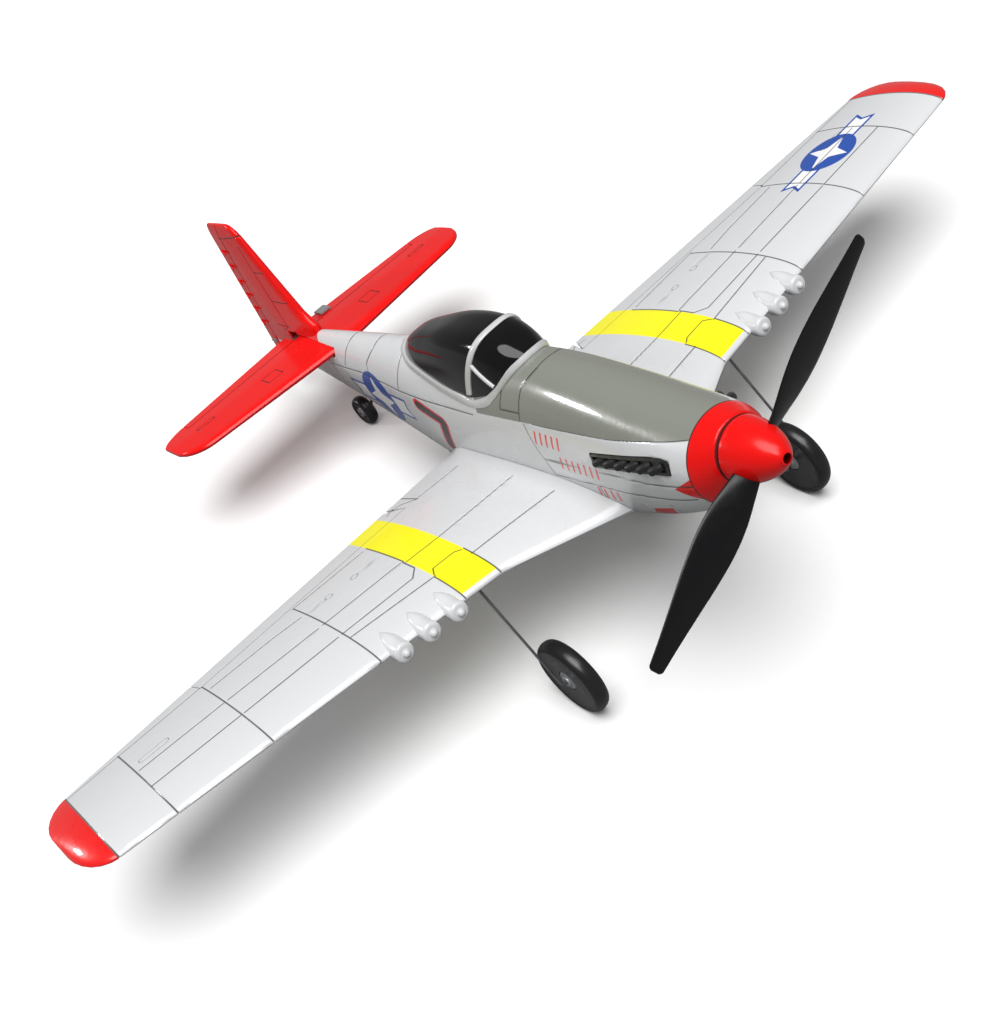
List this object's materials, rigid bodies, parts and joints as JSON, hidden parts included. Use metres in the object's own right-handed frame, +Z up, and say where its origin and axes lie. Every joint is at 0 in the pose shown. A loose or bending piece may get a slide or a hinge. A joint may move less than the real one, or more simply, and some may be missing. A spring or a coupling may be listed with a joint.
{
  "type": "rc foam airplane",
  "caption": "Small radio-controlled foam fighter with a low wing, working control surfaces, geared propeller, lift-off canopy hatch and wire undercarriage, standing on its wheels.",
  "frame": {"origin": "middle of the floor under the model, which stands on its main wheels and tail wheel", "axes": "+X to the port wing tip, -Y forwards to the propeller, +Z up"},
  "size_m": [0.4, 0.3128, 0.1164],
  "materials": {
    "foam_silver": "satin silver paint on moulded foam",
    "cowl_grey": "satin olive grey paint",
    "foam_red": "gloss red paint",
    "canopy_black": "high gloss black",
    "silver_trim": "satin silver",
    "black_plastic": "moulded black plastic",
    "prop_black": "fine satin black nylon",
    "tyre_black": "smooth foam rubber",
    "hub_grey": "moulded grey plastic",
    "steel_wire": "drawn steel wire",
    "magnet_nickel": "nickel plated",
    "white_plastic": "natural nylon",
    "circuit_green": "solder mask",
    "battery_blue": "shrink wrap",
    "carbon_black": "pultruded carbon"
  },
  "bodies": {
    "airframe": {"fuselage_hull": "foam_silver", "nose_ring": "foam_red", "radiator_scoop": "foam_silver", "gearbox_frame": "black_plastic", "shaft_bearing": "steel_wire", "motor_can": "steel_wire", "exhaust_left": "black_plastic", "exhaust_right": "black_plastic", "wing_left": "foam_silver", "wing_right": "foam_silver", "guns_left": "foam_silver", "guns_right": "foam_silver", "gear_leg_left": "steel_wire", "gear_leg_right": "steel_wire", "gear_block_left": "white_plastic", "gear_block_right": "white_plastic", "wing_spar": "carbon_black", "stabilizer": "foam_red", "fin": "foam_red", "tail_leg": "steel_wire", "battery_tray": "black_plastic", "battery": "battery_blue", "battery_lead": "black_plastic", "receiver_board": "circuit_green", "aileron_servo": "black_plastic", "elevator_servo": "black_plastic", "rudder_servo": "black_plastic", "hull_magnet": "magnet_nickel"},
    "hatch": {"top_cowl_hatch": "cowl_grey", "canopy": "canopy_black", "canopy_frame": "silver_trim", "hatch_magnet": "magnet_nickel"},
    "propeller_unit": {"spinner": "foam_red", "propeller": "prop_black", "prop_shaft": "steel_wire", "spur_gear": "white_plastic"},
    "motor_pinion": {"pinion": "steel_wire"},
    "wheel_left": {"tyre_left": "tyre_black", "hub_left": "hub_grey"},
    "wheel_right": {"tyre_right": "tyre_black", "hub_right": "hub_grey"},
    "tail_wheel": {"tail_tyre": "tyre_black", "tail_hub": "hub_grey"},
    "aileron_left_unit": {"aileron_left": "foam_silver", "torque_rod_left": "steel_wire"},
    "aileron_right_unit": {"aileron_right": "foam_silver", "torque_rod_right": "steel_wire"},
    "aileron_arm": {"aileron_servo_arm": "white_plastic"},
    "aileron_link_left_rod": {"aileron_link_left": "steel_wire"},
    "aileron_link_right_rod": {"aileron_link_right": "steel_wire"},
    "elevator_unit": {"elevator_left": "foam_red", "elevator_right": "foam_red", "elevator_joiner": "steel_wire", "elevator_horn": "hub_grey"},
    "elevator_rod": {"elevator_pushrod": "steel_wire"},
    "elevator_arm": {"elevator_servo_arm": "white_plastic"},
    "rudder_unit": {"rudder": "foam_red", "rudder_horn": "hub_grey"},
    "rudder_rod": {"rudder_pushrod": "steel_wire"},
    "rudder_arm": {"rudder_servo_arm": "white_plastic"}
  },
  "joints": [
    {"name": "propeller_spin", "type": "hinge", "parent": "airframe", "child": "propeller_unit", "pos_m": [0, -0.14551, 0.08814], "axis": [0, 0.9782, -0.2075], "continuous": true},
    {"name": "motor_spin", "type": "hinge", "parent": "airframe", "child": "motor_pinion", "pos_m": [0, -0.12878, 0.07355], "axis": [0, 0.9782, -0.2075], "continuous": true},
    {"name": "wheel_left_spin", "type": "hinge", "parent": "airframe", "child": "wheel_left", "pos_m": [0.054, -0.08989, 0.01398], "axis": [1, 0, 0], "continuous": true},
    {"name": "wheel_right_spin", "type": "hinge", "parent": "airframe", "child": "wheel_right", "pos_m": [-0.054, -0.08989, 0.01398], "axis": [1, 0, 0], "continuous": true},
    {"name": "tail_wheel_spin", "type": "hinge", "parent": "airframe", "child": "tail_wheel", "pos_m": [0, 0.09968, 0.00648], "axis": [1, 0, 0], "continuous": true},
    {"name": "aileron_left_hinge", "type": "hinge", "parent": "airframe", "child": "aileron_left_unit", "pos_m": [0.0445, -0.00571, 0.04026], "axis": [0.9923, -0.0908, 0.0848], "range_deg": [-20, 20]},
    {"name": "aileron_right_hinge", "type": "hinge", "parent": "airframe", "child": "aileron_right_unit", "pos_m": [-0.0445, -0.00571, 0.04026], "axis": [0.9923, 0.0908, -0.0848], "range_deg": [-20, 20]},
    {"name": "aileron_servo_turn", "type": "hinge", "parent": "airframe", "child": "aileron_arm", "pos_m": [0, -0.0159, 0.0447], "axis": [0, 0.2075, 0.9782], "range_deg": [-28, 28]},
    {"name": "aileron_link_left_slide", "type": "slide", "parent": "airframe", "child": "aileron_link_left_rod", "axis": [0, 0.9782, -0.2075], "range_m": [-0.0032, 0.0032]},
    {"name": "aileron_link_right_slide", "type": "slide", "parent": "airframe", "child": "aileron_link_right_rod", "axis": [0, 0.9782, -0.2075], "range_m": [-0.0032, 0.0032]},
    {"name": "elevator_hinge", "type": "hinge", "parent": "airframe", "child": "elevator_unit", "pos_m": [0, 0.1193, 0.04208], "axis": [1, 0, 0], "range_deg": [-20.3, 20.3]},
    {"name": "elevator_rod_slide", "type": "slide", "parent": "airframe", "child": "elevator_rod", "axis": [0.0468, 0.9657, -0.2552], "range_m": [-0.00377, 0.00377]},
    {"name": "elevator_servo_turn", "type": "hinge", "parent": "airframe", "child": "elevator_arm", "pos_m": [0.0045, 0.00324, 0.05301], "axis": [1, 0, 0], "range_deg": [-30, 30]},
    {"name": "rudder_hinge", "type": "hinge", "parent": "airframe", "child": "rudder_unit", "pos_m": [0, 0.14764, 0.01573], "axis": [0, -0.0244, 0.9997], "range_deg": [-25.3, 25.3]},
    {"name": "rudder_rod_slide", "type": "slide", "parent": "airframe", "child": "rudder_rod", "axis": [0.0468, 0.9818, -0.1839], "range_m": [-0.00332, 0.00332]},
    {"name": "rudder_servo_turn", "type": "hinge", "parent": "airframe", "child": "rudder_arm", "pos_m": [-0.0003, 0.02917, 0.04035], "axis": [1, 0, 0], "range_deg": [-28, 28]},
    {"name": "hatch_lift", "type": "slide", "parent": "airframe", "child": "hatch", "axis": [0, 0.2075, 0.9782], "range_m": [0, 0.03]}
  ],
  "couplings": [
    {"joint": "motor_spin", "follows": "propeller_spin", "ratio": -4.4},
    {"joint": "aileron_right_hinge", "follows": "aileron_left_hinge", "ratio": -1},
    {"joint": "aileron_servo_turn", "follows": "aileron_left_hinge", "ratio": -1.29},
    {"joint": "aileron_link_left_slide", "follows": "aileron_left_hinge", "m_per_rad": -0.008},
    {"joint": "aileron_link_right_slide", "follows": "aileron_left_hinge", "m_per_rad": 0.008},
    {"joint": "elevator_hinge", "follows": "elevator_rod_slide", "rad_per_m": 92.6},
    {"joint": "elevator_servo_turn", "follows": "elevator_rod_slide", "rad_per_m": -117.6},
    {"joint": "rudder_hinge", "follows": "rudder_rod_slide", "rad_per_m": 131.5},
    {"joint": "rudder_servo_turn", "follows": "rudder_rod_slide", "rad_per_m": -117}
  ]
}
